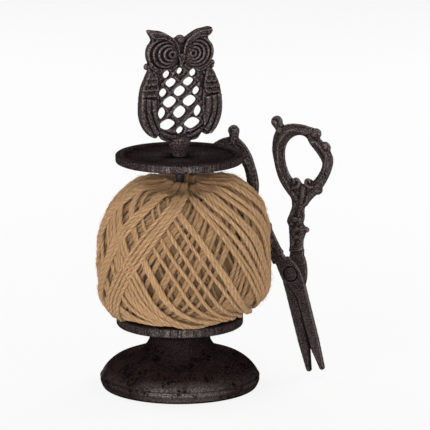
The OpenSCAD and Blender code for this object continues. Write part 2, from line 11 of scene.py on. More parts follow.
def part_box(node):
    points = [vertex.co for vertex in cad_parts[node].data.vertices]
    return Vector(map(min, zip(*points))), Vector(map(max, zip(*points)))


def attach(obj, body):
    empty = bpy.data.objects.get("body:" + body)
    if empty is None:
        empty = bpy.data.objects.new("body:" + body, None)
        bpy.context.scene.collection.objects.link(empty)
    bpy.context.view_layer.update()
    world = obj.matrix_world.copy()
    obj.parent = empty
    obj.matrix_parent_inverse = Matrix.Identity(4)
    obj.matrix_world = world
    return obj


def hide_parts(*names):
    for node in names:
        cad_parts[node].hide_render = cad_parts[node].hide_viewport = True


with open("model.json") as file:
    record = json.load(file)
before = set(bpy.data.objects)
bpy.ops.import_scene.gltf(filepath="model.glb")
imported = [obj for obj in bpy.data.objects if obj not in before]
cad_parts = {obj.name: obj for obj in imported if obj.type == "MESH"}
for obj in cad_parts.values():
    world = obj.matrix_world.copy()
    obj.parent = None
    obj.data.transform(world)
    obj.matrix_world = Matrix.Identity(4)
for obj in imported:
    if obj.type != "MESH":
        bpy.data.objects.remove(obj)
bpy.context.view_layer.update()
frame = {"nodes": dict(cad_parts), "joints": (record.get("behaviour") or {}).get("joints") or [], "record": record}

mm = 0.001
fullTurn = 2 * math.pi
scene = bpy.context.scene
joints = {joint["name"]: joint for joint in frame["joints"]}

# Small helpers


def withSettings(thing, **settings):
    for key, value in settings.items():
        setattr(thing, key, value)
    return thing


def addObject(name, data):
    obj = bpy.data.objects.new(name, data)
    scene.collection.objects.link(obj)
    return obj


def meshFromBmesh(name, bm):
    mesh = bpy.data.meshes.new(name)
    bm.to_mesh(mesh)
    bm.free()
    mesh.shade_smooth()
    return mesh


def objectFromBmesh(name, bm):
    return addObject(name, meshFromBmesh(name, bm))


def takeMesh(obj):
    # the object's finished mesh, without the object
    depsgraph = bpy.context.evaluated_depsgraph_get()
    mesh = bpy.data.meshes.new_from_object(obj.evaluated_get(depsgraph))
    mesh.shade_smooth()
    bpy.data.objects.remove(obj)
    return mesh


def dress(obj, material, body, node):
    bm = bmesh.new()
    bm.from_mesh(obj.data)
    if bm.calc_volume(signed=True) < 0:  # inside out, and turned only now that its wear, painted highlight and painted shade are marked
        obj.data.flip_normals()
    bm.free()
    obj.data.materials.clear()
    obj.data.materials.append(material)
    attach(obj, body)
    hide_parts(node)


def meshValues(items, key, width, kind=np.float32):
    # one row of numbers for each vertex or edge
    values = np.empty(len(items) * width, kind)
    items.foreach_get(key, values)
    return values.reshape(-1, width)


def addLayer(mesh, name, values):
    # a number or a vector on every vertex, for the finishes to read
    kind, key = ("FLOAT_VECTOR", "vector") if values.ndim == 2 else ("FLOAT", "value")
    layer = mesh.attributes.new(name, kind, "POINT")
    layer.data.foreach_set(key, values.astype(np.float32).ravel())


def fade(value, start, width):
    # from 0 at the start to 1 a width further on, or further back where the width is negative
    return np.clip((value - start) / width, 0, 1)


def smoothPath(points, steps):
    # a curve through the points, with that many steps between two of them
    pts = [Vector(point) for point in points]
    pts = pts[:1] + pts + pts[-1:]
    path = []
    for a, b, c, d in zip(pts, pts[1:], pts[2:], pts[3:]):
        for k in range(steps):
            t = k / steps
            path.append(0.5 * (2 * b + (c - a) * t + (2 * a - 5 * b + 4 * c - d) * t ** 2
                               + (3 * b - a - 3 * c + d) * t ** 3))
    return path + pts[-1:]


def arcPoints(centre, radius, start, end, steps):
    turns = [math.radians(start + (end - start) * k / steps) for k in range(steps + 1)]
    return [(centre[0] + radius * math.cos(t), centre[1] + radius * math.sin(t)) for t in turns]


def newCurve(name, **settings):
    return withSettings(bpy.data.curves.new(name, "CURVE"), **settings)


def newSpline(data, count):
    spline = data.splines.new("POLY")
    spline.points.add(count - 1)
    return spline


def weld(bm, dist):
    bmesh.ops.remove_doubles(bm, verts=bm.verts, dist=dist)
    bmesh.ops.recalc_face_normals(bm, faces=bm.faces)


def spinOutline(bm, points, centre, axis, steps):
    # a closed outline turned once round an axis
    ring = [bm.verts.new(point) for point in points]
    sides = [bm.edges.new((ring[i], ring[(i + 1) % len(ring)])) for i in range(len(ring))]
    bmesh.ops.spin(bm, geom=ring + sides, cent=centre, axis=axis, angle=fullTurn, steps=steps, use_merge=True)


def solidCopy(node, spot, merge):
    # a node's own mesh, moved, with its loose triangles merged and its flat faces made whole
    bm = bmesh.new()
    bm.from_mesh(frame["nodes"][node].data)
    bmesh.ops.transform(bm, matrix=spot, verts=bm.verts)
    bmesh.ops.remove_doubles(bm, verts=bm.verts, dist=merge)
    bmesh.ops.dissolve_limit(bm, angle_limit=math.radians(0.5), verts=bm.verts, edges=bm.edges)
    return bm


# Node helpers for the finishes


def addNode(tree, kind, **settings):
    return withSettings(tree.nodes.new(kind), **settings)


def feed(tree, node, values):
    # each input by its name or number: a link from another node, or a plain value
    for key, value in values.items():
        if isinstance(value, bpy.types.NodeSocket):
            tree.links.new(value, node.inputs[key])
        else:
            node.inputs[key].default_value = value
    return node.outputs


def mathNode(tree, operation, a, b, clamp=False):
    node = addNode(tree, "ShaderNodeMath", operation=operation, use_clamp=clamp)
    return feed(tree, node, {0: a, 1: b})[0]


def times(tree, a, b, clamp=False):
    return mathNode(tree, "MULTIPLY", a, b, clamp)


def plus(tree, a, b, clamp=False):
    return mathNode(tree, "ADD", a, b, clamp)


def mixColour(tree, factor, a, b):
    node = addNode(tree, "ShaderNodeMix", data_type="RGBA")
    return feed(tree, node, {"Factor": factor, 6: a, 7: b})[2]  # 6, 7 and 2 are its colours


def ramp(tree, factor, stops):
    node = addNode(tree, "ShaderNodeValToRGB")
    for element, (place, shade) in zip(node.color_ramp.elements, stops):
        element.position = place
        element.color = (shade, shade, shade, 1)
    return feed(tree, node, {0: factor})[0]


def noiseNode(tree, vector, scale, detail=3.0, roughness=0.55):
    values = {"Vector": vector, "Scale": scale, "Detail": detail, "Roughness": roughness}
    return feed(tree, addNode(tree, "ShaderNodeTexNoise"), values)["Fac"]


def stretched(tree, vector, scale):
    return feed(tree, addNode(tree, "ShaderNodeMapping"), {"Vector": vector, "Scale": scale})["Vector"]


def attribute(tree, name, output="Fac"):
    return addNode(tree, "ShaderNodeAttribute", attribute_name=name).outputs[output]


def objectPlace(tree):
    return addNode(tree, "ShaderNodeTexCoord").outputs["Object"]


def bumped(tree, height, strength, depth):
    values = {"Height": height, "Strength": strength, "Distance": depth}
    return feed(tree, addNode(tree, "ShaderNodeBump"), values)["Normal"]


def newMaterial(name):
    material = bpy.data.materials.new(name)
    material.use_nodes = True
    return material, material.node_tree, material.node_tree.nodes["Principled BSDF"]


# Sand-cast skin: blotches, fine sand grain and clusters of pits

skinSet = {
    "inputs": {"Grain": 1500.0, "Blotch": 130.0, "Pitting": 0.0, "Pit Size": 1.0},
    "coarseScale": 0.3, "pitScale": 0.4, "zoneScale": 0.8,  # shares of the grain's and the blotches' scale
    "blotches": [(0.36, 0.0), (0.66, 1.0)], "sand": [(0.47, 0.0), (0.62, 1.0)],
    "pitZones": [(0.5, 0.0), (0.62, 1.0)], "pitEdge": [(0.12, 1.0), (0.42, 0.0)],
    "fineHeight": 0.6, "coarseHeight": 0.5, "pitDepth": 0.5,
}


def castSkinGroup():
    group = bpy.data.node_groups.new("castSkin", "ShaderNodeTree")
    for label, value in skinSet["inputs"].items():
        socket = group.interface.new_socket(label, in_out="INPUT", socket_type="NodeSocketFloat")
        socket.default_value = value
    for label in ("Mottle", "Sand", "Pits", "Height"):
        group.interface.new_socket(label, in_out="OUTPUT", socket_type="NodeSocketFloat")
    source = addNode(group, "NodeGroupInput").outputs
    sink = addNode(group, "NodeGroupOutput")
    place = objectPlace(group)
    grain, blotch = source["Grain"], source["Blotch"]
    fine = noiseNode(group, place, grain, 4.0, 0.65)
    coarse = noiseNode(group, place, times(group, grain, skinSet["coarseScale"]))
    spacing = {"Vector": place, "Scale": times(group, grain, skinSet["pitScale"])}
    cells = feed(group, addNode(group, "ShaderNodeTexVoronoi"), spacing)
    zone = noiseNode(group, place, times(group, blotch, skinSet["zoneScale"]))
    cluster = ramp(group, plus(group, zone, source["Pitting"]), skinSet["pitZones"])
    reach = mathNode(group, "DIVIDE", cells["Distance"], source["Pit Size"])
    pits = times(group, ramp(group, reach, skinSet["pitEdge"]), cluster)
    mottle = ramp(group, noiseNode(group, place, blotch, 6.0, 0.65), skinSet["blotches"])
    sand = ramp(group, fine, skinSet["sand"])
    height = times(group, fine, skinSet["fineHeight"])
    height = plus(group, height, times(group, coarse, skinSet["coarseHeight"]))
    height = mathNode(group, "SUBTRACT", height, times(group, pits, skinSet["pitDepth"]))
    feed(group, sink, {"Mottle": mottle, "Sand": sand, "Pits": pits, "Height": height})
    return group


castSkin = castSkinGroup()


def addSkin(tree, values):
    return feed(tree, addNode(tree, "ShaderNodeGroup", node_tree=castSkin), values)


ironFinish = {
    "dark": (0.0060, 0.0034, 0.0032, 1),
    "warm": (0.0200, 0.0110, 0.0102, 1),
    "sand": (0.0400, 0.0285, 0.0270, 1),
    "worn": (0.1600, 0.1360, 0.1320, 1),
    # the pit colour serves the real pits and the painted shade
    "pitAndShade": (0.0025, 0.0015, 0.0014, 1),
    "sandShare": 0.40, "pitShare": 0.85, "hollowShare": 0.85,
    "rubbedSand": 0.7, "rubbedRest": 0.35,  # how bare a rubbed place is, on its sand grain and all over
    "streakScale": (1100, 1100, 70), "streaks": [(0.40, 0.1), (0.62, 1.0)],
    "dull": 0.92, "polished": 0.40, "grainDepth": 0.4 * mm,
}


def ironMaterial(name, grain, sheen, streaks=False, pitting=0.0, pitSize=1.0):
    # dull skin, bare where it is rubbed or given a painted highlight; the sheen is the bare share of its grain
    # everywhere
    material, tree, shader = newMaterial(name)
    skin = addSkin(tree, {"Grain": grain, "Pitting": pitting, "Pit Size": pitSize})
    sand = skin["Sand"]
    wearAndHighlight = attribute(tree, "wearAndHighlight")
    if streaks:  # fine upright streaks where a rim is rubbed and given a painted highlight
        streak = noiseNode(tree, stretched(tree, objectPlace(tree), ironFinish["streakScale"]), 1.0, 4.0, 0.6)
        wearAndHighlight = times(tree, wearAndHighlight, ramp(tree, streak, ironFinish["streaks"]))
    rubbed = plus(tree, times(tree, sand, ironFinish["rubbedSand"]), ironFinish["rubbedRest"])
    # painted shade in hollows and under other parts darkens the iron towards the pit colour
    hollow = times(tree, attribute(tree, "hollow"), ironFinish["hollowShare"], clamp=True)
    low = mathNode(tree, "MAXIMUM", times(tree, skin["Pits"], ironFinish["pitShare"]), hollow)
    bare = plus(tree, times(tree, wearAndHighlight, rubbed), times(tree, sand, sheen), clamp=True)
    bare = times(tree, bare, mathNode(tree, "SUBTRACT", 1.0, low), clamp=True)
    colour = mixColour(tree, skin["Mottle"], ironFinish["dark"], ironFinish["warm"])
    colour = mixColour(tree, times(tree, sand, ironFinish["sandShare"]), colour, ironFinish["sand"])
    colour = mixColour(tree, bare, colour, ironFinish["worn"])
    colour = mixColour(tree, low, colour, ironFinish["pitAndShade"])
    smoother = times(tree, bare, ironFinish["dull"] - ironFinish["polished"])
    roughness = mathNode(tree, "SUBTRACT", ironFinish["dull"], smoother)
    normal = bumped(tree, skin["Height"], 0.85, ironFinish["grainDepth"])
    feed(tree, shader, {"Base Color": colour, "Metallic": bare, "Roughness": roughness, "Normal": normal,
                        "Specular IOR Level": 0.0})
    return material


steelFinish = {
    "dark": (0.030, 0.028, 0.027, 1),
    "light": (0.075, 0.071, 0.067, 1),
    "grain": 2600.0, "blotch": 320.0, "smooth": 0.38, "rougher": 0.2, "grainDepth": 0.1 * mm,
}


def steelMaterial():
    # dark as blackened steel, and darker than the plated rod so it stands in for the shade in the gap under the
    # disc
    material, tree, shader = newMaterial("steelDarkForShade")
    skin = addSkin(tree, {"Grain": steelFinish["grain"], "Blotch": steelFinish["blotch"]})
    colour = mixColour(tree, skin["Mottle"], steelFinish["dark"], steelFinish["light"])
    roughness = plus(tree, times(tree, skin["Sand"], steelFinish["rougher"]), steelFinish["smooth"])
    normal = bumped(tree, skin["Height"], 0.2, steelFinish["grainDepth"])
    feed(tree, shader, {"Base Color": colour, "Metallic": 0.9, "Roughness": roughness, "Normal": normal})
    return material


# Jute: long fibres wound into plies, read from the strand's own coordinates

juteFinish = {
    "light": (0.720, 0.468, 0.262),
    "mid": (0.450, 0.260, 0.125),
    "dark": (0.170, 0.084, 0.036),
    "fibreScale": (0.42, 7.0, 7.0), "clumpScale": (0.20, 2.4, 2.4), "patchScale": 70.0,
    "fibres": [(0.30, 0.0), (0.70, 1.0)], "clumps": [(0.47, 0.0), (0.68, 0.9)],
    # painted shade between the plies
    "paintedPlyShade": [(0.0, 0.75), (0.6, 0.0)], "dullStrands": [(0.30, 0.65), (0.62, 0.0)],
    "toneShare": 0.5, "patchShare": 0.3, "fibreDepth": 0.5 * mm,
    "plain": {"Roughness": 0.82, "Specular IOR Level": 0.25, "Sheen Weight": 0.12, "Sheen Roughness": 0.5,
              "Sheen Tint": (0.80, 0.62, 0.40, 1)},
}


def juteMaterial(name, shade=1.0):
    # a shade below 1 paints the whole finish darker, as painted shade for what lies below
    material, tree, shader = newMaterial(name)
    light, mid, dark = ([part * shade for part in juteFinish[key]] + [1] for key in ("light", "mid", "dark"))
    strand = attribute(tree, "strandPlace", "Vector")
    fibre = noiseNode(tree, stretched(tree, strand, juteFinish["fibreScale"]), 1.0, 5.0, 0.7)
    clump = noiseNode(tree, stretched(tree, strand, juteFinish["clumpScale"]), 1.0, 4.0, 0.65)
    patch = noiseNode(tree, objectPlace(tree), juteFinish["patchScale"])
    tone = times(tree, attribute(tree, "strandTone"), juteFinish["toneShare"])
    tone = plus(tree, tone, times(tree, patch, juteFinish["patchShare"]))
    colour = mixColour(tree, ramp(tree, fibre, juteFinish["fibres"]), mid, light)
    colour = mixColour(tree, ramp(tree, clump, juteFinish["clumps"]), colour, dark)
    # painted shade: the twine darker between its plies and under the disc
    colour = mixColour(tree, ramp(tree, attribute(tree, "plyPaintedLight"), juteFinish["paintedPlyShade"]), colour, dark)
    colour = mixColour(tree, ramp(tree, tone, juteFinish["dullStrands"]), colour, mid)
    normal = bumped(tree, fibre, 0.8, juteFinish["fibreDepth"])
    feed(tree, shader, {"Base Color": colour, "Normal": normal, **juteFinish["plain"]})
    return material


castIron = ironMaterial("castIron", 1500.0, 0.3)
footIron = ironMaterial("footIron", 1200.0, 0.05, pitting=0.03, pitSize=2.0)
rimIron = ironMaterial("rimIron", 1300.0, 0.17, streaks=True)
figureIron = ironMaterial("figureIron", 1500.0, 0.55)
bladeIron = ironMaterial("bladeIron", 2100.0, 0.62)
steelDarkForShade = steelMaterial()
# the under and deep layers and the core are this jute painted darker, as painted shade
juteTop = juteMaterial("juteTop")
juteUnderPaintedShade = juteMaterial("juteUnderPaintedShade", 0.80)
juteDeepPaintedShade = juteMaterial("juteDeepPaintedShade", 0.52)
print("finishes made")

# Camera at the photograph's angle, and plain studio light

viewOf = {"aim": (20.2 * mm, 0.0, 99.5 * mm), "distance": 1.8, "elevation": 12.3, "lens": 264.5}


def addCamera():
    tilt = math.radians(viewOf["elevation"])
    data = bpy.data.cameras.new("photoCamera")
    withSettings(data, lens=viewOf["lens"], sensor_width=36.0, clip_start=0.05)
    obj = addObject("photoCamera", data)
    away = Vector((0, -math.cos(tilt), math.sin(tilt)))
    obj.location = Vector(viewOf["aim"]) + viewOf["distance"] * away
    obj.rotation_euler = (math.pi / 2 - tilt, 0, 0)
    scene.camera = obj


lampAim = Vector((0.01, 0, 0.1))
lampSet = {  # place, size and power
    "front": ((-0.04, -1.75, 0.2), 0.8, 24.0),
    "key": ((-0.95, -1.25, 0.36), 0.8, 8.5),
    "fill": ((1.15, -1.05, 0.36), 0.9, 3.8),
    "top": ((0.05, 0.1, 1.5), 1.0, 3.2),
    "backLeft": ((-0.9, 1.1, 0.6), 0.8, 9.0),
    "backRight": ((0.95, 1.0, 0.6), 0.8, 9.0),
}


def addLamps():
    for name, (place, size, power) in lampSet.items():
        data = bpy.data.lights.new(name, "AREA")
        obj = addObject(name, withSettings(data, size=size, energy=power))
        obj.location = place
        obj.rotation_euler = (lampAim - obj.location).to_track_quat("-Z", "Y").to_euler()


room = {"softLight": 0.32, "floorGrey": 0.82, "floorWhite": 0.85, "floorSize": 6.0, "floorBelow": 0.2 * mm}


def showWhite(tree, plain, white, share, end):
    # the camera, metal and glass see white, by that share
    rays = addNode(tree, "ShaderNodeLightPath").outputs
    seen = mathNode(tree, "MAXIMUM", rays["Is Camera Ray"], rays["Is Glossy Ray"])
    seen = mathNode(tree, "MAXIMUM", seen, rays["Is Transmission Ray"])
    values = {0: times(tree, seen, share), 1: plain.outputs[0], 2: white.outputs[0]}
    mixed = feed(tree, addNode(tree, "ShaderNodeMixShader"), values)[0]
    feed(tree, tree.nodes[end], {"Surface": mixed})


def addWorld():
    world = bpy.data.worlds.new("whiteRoom")
    scene.world = world
    world.use_nodes = True
    tree = world.node_tree
    soft = tree.nodes["Background"]
    white = addNode(tree, "ShaderNodeBackground")
    for light, strength in ((soft, room["softLight"]), (white, 1.0)):
        feed(tree, light, {"Color": (1, 1, 1, 1), "Strength": strength})
    showWhite(tree, soft, white, 1.0, "World Output")


def addFloor():
    bm = bmesh.new()
    bmesh.ops.create_grid(bm, x_segments=1, y_segments=1, size=room["floorSize"])
    floor = objectFromBmesh("paleFloor", bm)
    floor.location.z = -room["floorBelow"]
    material, tree, shader = newMaterial("paleFloor")
    grey = [room["floorGrey"]] * 3 + [1]
    feed(tree, shader, {"Base Color": grey, "Roughness": 0.9, "Specular IOR Level": 0.1})
    glow = addNode(tree, "ShaderNodeEmission")
    feed(tree, glow, {"Strength": 1.0})
    showWhite(tree, shader, glow, room["floorWhite"], "Material Output")
    floor.data.materials.append(material)


scene.view_settings.view_transform = "Standard"
addCamera()
addLamps()
addWorld()
addFloor()
print("camera, lamps and floor set")

# Rubbed ridges with painted highlights, and painted shade in hollows, from how each mesh bends

wearAndLightSet = {
    "upright": (0.72, -0.3),  # how steep the faces of a rim are that get rubbed and a painted highlight
    "patches": [(-88, 34), (28, 24), (95, 30), (165, 22)],  # direction and spread of the most rubbed places, the one at the front a painted highlight
    "least": 0.2, "gain": 1.15,  # between the patches, and of them all
    "middleShadeFade": -4.0, "most": 1.4,
}


def meshBend(mesh, place, facing, rounds):
    # how far each vertex stands out from its neighbours, evened out a few times
    one, two = meshValues(mesh.edges, "vertices", 2, np.int32).T
    step = place[two] - place[one]
    step /= np.maximum(np.linalg.norm(step, axis=1, keepdims=True), 1e-9)
    bend = np.zeros(len(place))
    share = np.zeros(len(place))
    for end, way in ((one, -1), (two, 1)):
        np.add.at(bend, end, way * np.einsum("ij,ij->i", facing[end], step))
        np.add.at(share, end, 1)
    bend /= np.maximum(share, 1)
    for _ in range(rounds):
        spread = bend.copy()
        np.add.at(spread, one, bend[two])
        np.add.at(spread, two, bend[one])
        bend = spread / (share + 1)
    return bend


def markWearShadeAndHighlight(obj, ridge, dip, rounds=3, rim=None, dark=0.0):
    mesh = obj.data
    place = meshValues(mesh.vertices, "co", 3)
    facing = meshValues(mesh.vertices, "normal", 3)
    bend = meshBend(mesh, place, facing, rounds)
    # ridges count as rubbed: partly wear, partly a painted highlight
    worn = bend / ridge
    # painted shade in hollows, and wherever a darkness is given
    deep = np.maximum(-bend / dip, dark)
    if rim:  # upright faces in patches round a casting, rubbed and with a painted highlight at the front, and painted shade near its middle
        reach = np.hypot(place[:, 0], place[:, 1]) / mm
        upright = fade(np.abs(facing[:, 2]), *wearAndLightSet["upright"])
        worn = np.maximum(worn, upright * fade(reach, rim["wornAndLitFrom"], 1.0))
        around = np.degrees(np.arctan2(place[:, 1], place[:, 0]))
        patch = np.full(len(place), wearAndLightSet["least"])
        for direction, spread in wearAndLightSet["patches"]:
            apart = (around - direction + 180) % 360 - 180
            patch = np.maximum(patch, np.exp(-(apart / spread) ** 4))
        worn = np.clip(worn, 0, 1) * patch * wearAndLightSet["gain"]
        # painted shade near the middle, under the plate, the ball or the owl's boss
        shadeTo, shadeShare = rim["middleShade"]
        deep = np.maximum(deep, shadeShare * fade(reach, shadeTo, wearAndLightSet["middleShadeFade"]))
    for name, value in (("wearAndHighlight", worn), ("hollow", deep)):
        addLayer(mesh, name, np.clip(value, 0, wearAndLightSet["most"]))


# Turned castings: foot, plate and disc

castingSet = {
    "steps": 192, "dip": 0.1, "wave": 0.10, "waveSize": 11.0,
    "waveFrom": 14.0, "waveAbove": 0.3, "waveTilt": 0.97,  # radius, height and tilt of the faces that wave
}


def turnProfile(name, profile, seed):
    bm = bmesh.new()
    spinOutline(bm, [(r * mm, 0, z * mm) for r, z in profile], (0, 0, 0), (0, 0, 1), castingSet["steps"])
    weld(bm, 0.004 * mm)
    bm.normal_update()
    for vert in bm.verts:  # the slight waves of a hand-rammed mould, kept off bores and seats
        reach, height = math.hypot(vert.co.x, vert.co.y) / mm, vert.co.z / mm
        seat = reach <= castingSet["waveFrom"] or height <= castingSet["waveAbove"]
        if not seat and abs(vert.normal.z) < castingSet["waveTilt"]:
            wave = noise.noise(vert.co / (castingSet["waveSize"] * mm) + Vector((seed, 0, 0)))
            vert.co += vert.normal * wave * castingSet["wave"] * mm
    return objectFromBmesh(name, bm)


foot = {
    "rimHeight": 6.0, "rimMore": 0.5, "rimSwell": 1.7, "rimCurve": 2.2, "rimDraft": 0.35, "draftFrom": 0.6,
    "rimLow": 0.15, "rimSeat": 1.2, "rimStep": 0.45, "groove": 0.38, "grooveTop": 0.9, "grooveTurn": 1.8,
    "domeRadius": 20.0, "domeDrop": 2.0, "coneFrom": 70.0, "neckRadius": 17.0, "neckCurve": 11.0,
    "wall": 4.0, "bossRadius": 12.0, "bossHeight": 12.0, "bossEdge": 0.6, "bore": 3.1, "topEase": 0.02,
    # the middle shade is painted shade on the neck under the plate
    "wornAndLitFrom": 39.0, "ridge": 0.12, "middleShade": (25.0, 0.4),
}


def footRim(radius):
    # swelling out from the underside and drawing in a little below the groove
    top = foot["rimHeight"] - foot["groove"] * foot["grooveTop"]
    face = []
    for share in np.linspace(0, 1, 9):
        draft = foot["rimDraft"] * max(0, share - foot["draftFrom"]) / (1 - foot["draftFrom"])
        swell = foot["rimSwell"] * (1 - share) ** foot["rimCurve"] + draft
        face.append((radius - swell, foot["rimLow"] + share * (top - foot["rimLow"])))
    return face


def makeFoot():
    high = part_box("base_foot")[1]
    radius, height = high.x / mm + foot["rimMore"], high.z / mm
    rise = foot["rimHeight"] + foot["domeDrop"]
    domeX = radius - foot["rimStep"] - math.sqrt(foot["domeRadius"] ** 2 - rise ** 2)
    dome = (domeX, -foot["domeDrop"])
    domeFrom = math.degrees(math.asin(rise / foot["domeRadius"])) + foot["grooveTurn"]
    lean = math.radians(foot["coneFrom"])
    neckX = foot["neckRadius"] + foot["neckCurve"]
    coneX = domeX + foot["domeRadius"] * math.cos(lean)
    coneZ = foot["domeRadius"] * math.sin(lean) - foot["domeDrop"]
    neckZ = coneZ + (foot["neckCurve"] - (neckX - coneX) * math.cos(lean)) / math.sin(lean)
    inner = foot["domeRadius"] - foot["wall"]
    hollowEnd = math.degrees(math.asin(foot["domeDrop"] / inner))
    bossX, bossZ, edge = foot["bossRadius"], foot["bossHeight"], foot["bossEdge"]
    profile = [(foot["bore"], bossZ), (bossX - edge, bossZ), (bossX, bossZ + edge)]
    profile += [(bossX, inner - foot["domeDrop"])]
    profile += arcPoints(dome, inner, 90, hollowEnd, 28)
    profile += [(radius - foot["rimSwell"] - foot["rimSeat"], 0.0)]
    profile += footRim(radius)
    profile += arcPoints((radius - foot["rimStep"], foot["rimHeight"]), foot["groove"], -20, -160, 5)
    profile += arcPoints(dome, foot["domeRadius"], domeFrom, foot["coneFrom"], 36)
    profile += arcPoints((neckX, neckZ), foot["neckCurve"], foot["coneFrom"] + 180, 180, 14)
    profile += [(foot["neckRadius"], height - foot["topEase"]), (foot["bore"], height)]
    return turnProfile("footCasting", profile, 3.0)


def flatCasting(node, shape):
    # the underside and the rounded rim of a flat round casting, with its radius and top to go on from
    low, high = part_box(node)
    radius, top, bottom, edge = high.x / mm, high.z / mm, low.z / mm, shape["edge"]
    profile = [(shape["bore"], bottom), (shape["seat"], bottom)]
    profile += [(radius - edge - shape["underEdge"], bottom + shape["underRise"])]
    profile += arcPoints((radius - edge, bottom + edge), edge, -90, 0, 7)
    profile += arcPoints((radius - edge, top - edge), edge, 0, 90, 7)
    return profile, radius, top


plate = {
    "edge": 1.2, "bore": 3.1, "seat": 14.0, "underEdge": 3.0, "underRise": 0.05, "topEdge": 6.0,
    # the middle shade is painted shade under the ball
    "wornAndLitFrom": 30.0, "ridge": 0.4, "middleShade": (20.0, 0.4),
}


def makePlate():
    profile, radius, top = flatCasting("lower_plate", plate)
    profile += [(radius - plate["topEdge"], top), (plate["bore"], top)]
    return turnProfile("plateCasting", profile, 11.0)


disc = {
    "edge": 1.1, "bore": 3.1, "seat": 14.0, "underEdge": 3.0, "underRise": 0.02,
    "rimWidth": 4.0, "dishDepth": 1.5,
    # the middle shade is a painted shadow round the owl's boss
    "wornAndLitFrom": 30.0, "ridge": 0.4, "middleShade": (9.5, 0.95),
}


def makeDisc():
    profile, radius, top = flatCasting("top_disc", disc)
    inside, depth = radius - disc["rimWidth"], disc["dishDepth"]
    profile += [(inside + 0.5, top), (inside, top - 0.15), (inside - depth * 0.6, top - depth * 0.6)]
    profile += [(inside - depth - 0.4, top - depth + 0.1), (inside - depth - 1.2, top - depth)]
    profile += [(disc["seat"], top - depth), (disc["bore"], top - depth)]
    return turnProfile("discCasting", profile, 23.0)


for maker, rim, material, body, node in (
        (makeFoot, foot, footIron, "stand", "base_foot"),
        (makePlate, plate, rimIron, "stand", "lower_plate"),
        (makeDisc, disc, rimIron, "top_cap", "top_disc")):
    piece = maker()
    markWearShadeAndHighlight(piece, rim["ridge"], castingSet["dip"], 1, rim)
    dress(piece, material, body, node)
print("turned castings made")

# Softened copies of small solids: nuts, washers, hook and rivet

softSet = {"roundFrom": 30.0, "crispFrom": 35.0}


def softened(node, name, width):
    bm = solidCopy(node, Matrix(), 0.001 * mm)
    limit = math.radians(softSet["roundFrom"])
    sharp = [edge for edge in bm.edges if len(edge.link_faces) == 2 and edge.calc_face_angle() > limit]
    bmesh.ops.bevel(bm, geom=sharp, offset=width * mm, offset_type="OFFSET", segments=2, profile=0.5,
                    affect="EDGES", clamp_overlap=True, material=-1)
    obj = objectFromBmesh(name, bm)
    obj.data.set_sharp_from_angle(angle=math.radians(softSet["crispFrom"]))
    return obj


smallSet = {
    "base_nut": ("baseNut", 0.5, steelDarkForShade, "steel"),
    "plate_nut": ("plateNut", 0.5, steelDarkForShade, "steel"),
    "disc_nut": ("discNut", 0.5, steelDarkForShade, "steel"),
    "base_washer": ("baseWasher", 0.25, steelDarkForShade, "steel"),
    "disc_washer": ("discWasher", 0.25, steelDarkForShade, "steel"),
    "scissor_hook": ("scissorHook", 0.2, castIron, "iron"),
    "pivot_rivet": ("pivotRivet", 0.25, bladeIron, "iron"),
    "rivet_washer": ("rivetWasher", 0.2, bladeIron, "iron"),
}
bodyOf = {node: body for body, nodes in frame["record"]["behaviour"]["bodies"].items() for node in nodes}
for node, (name, width, material, slot) in smallSet.items():
    dress(softened(node, name, width), material, bodyOf[node], node)

# Threaded rod

thread = {
    "pitch": 1.0, "depth": 0.55, "steps": 20, "crispFrom": 40.0,
    "crest": (0.42, 0.58), "crestDrop": 0.1, "coreDrop": 0.8,  # shares of the pitch, then of the depth
}


def makeRod():
    low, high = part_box("spindle_rod")
    pitch, depth = thread["pitch"] * mm, thread["depth"] * mm
    root, crest, core = (high.x - drop * depth for drop in (1, thread["crestDrop"], thread["coreDrop"]))
    turns = int((high.z - low.z) / pitch) - 1
    bm = bmesh.new()
    shape = [(root, 0.0)] + [(crest, share) for share in thread["crest"]] + [(root, 1.0)]
    ring = [bm.verts.new((r, 0, low.z + pitch * share)) for r, share in shape]
    sides = [bm.edges.new(pair) for pair in zip(ring, ring[1:])]
    bmesh.ops.spin(bm, geom=ring + sides, cent=(0, 0, 0), axis=(0, 0, 1), angle=fullTurn * turns,
                   dvec=(0, 0, pitch / thread["steps"]), steps=thread["steps"] * turns, use_merge=False)
    bmesh.ops.remove_doubles(bm, verts=bm.verts, dist=0.01 * mm)
    bmesh.ops.holes_fill(bm, edges=[edge for edge in bm.edges if edge.is_boundary], sides=0)
    middle = bmesh.ops.create_cone(bm, cap_ends=True, segments=28, radius1=core, radius2=core,
                                   depth=high.z - low.z)
    bmesh.ops.translate(bm, vec=(0, 0, (high.z + low.z) / 2), verts=middle["verts"])
    bmesh.ops.recalc_face_normals(bm, faces=bm.faces)
    obj = objectFromBmesh("threadedRod", bm)
    obj.data.set_sharp_from_angle(angle=math.radians(thread["crispFrom"]))
    return obj


dress(makeRod(), steelDarkForShade, "stand", "spindle_rod")
print("rod, nuts and washers made")

# Strokes and beads that fuse into one cast figure, in millimetres

figureSet = {"merge": 0.001, "ridge": 0.10, "dip": 0.12}


def strokesMesh(strokes):
    # round strokes through points of x, y, z and radius
    data = newCurve("strokes", dimensions="3D", bevel_depth=1.0, bevel_resolution=3, use_fill_caps=True)
    for points in strokes:
        path = smoothPath(points, 5)
        for point, place in zip(newSpline(data, len(path)).points, path):
            point.co = (*place[:3], 1)
            point.radius = place[3]
    return takeMesh(addObject("strokes", data))


def addBead(bm, centre, radius):
    spot = Matrix.Translation(centre)
    bmesh.ops.create_uvsphere(bm, u_segments=20, v_segments=12, radius=radius, matrix=spot)


def fuse(name, bm, meshes, voxel, rounds):
    for mesh in meshes:
        bm.from_mesh(mesh)
    weld(bm, figureSet["merge"])
    obj = objectFromBmesh(name, bm)
    withSettings(obj.modifiers.new("skin", "REMESH"), mode="VOXEL", voxel_size=voxel)
    withSettings(obj.modifiers.new("ease", "SMOOTH"), factor=0.5, iterations=rounds)
    return takeMesh(obj)


# The owl, drawn flat with u across, v up and w towards its front

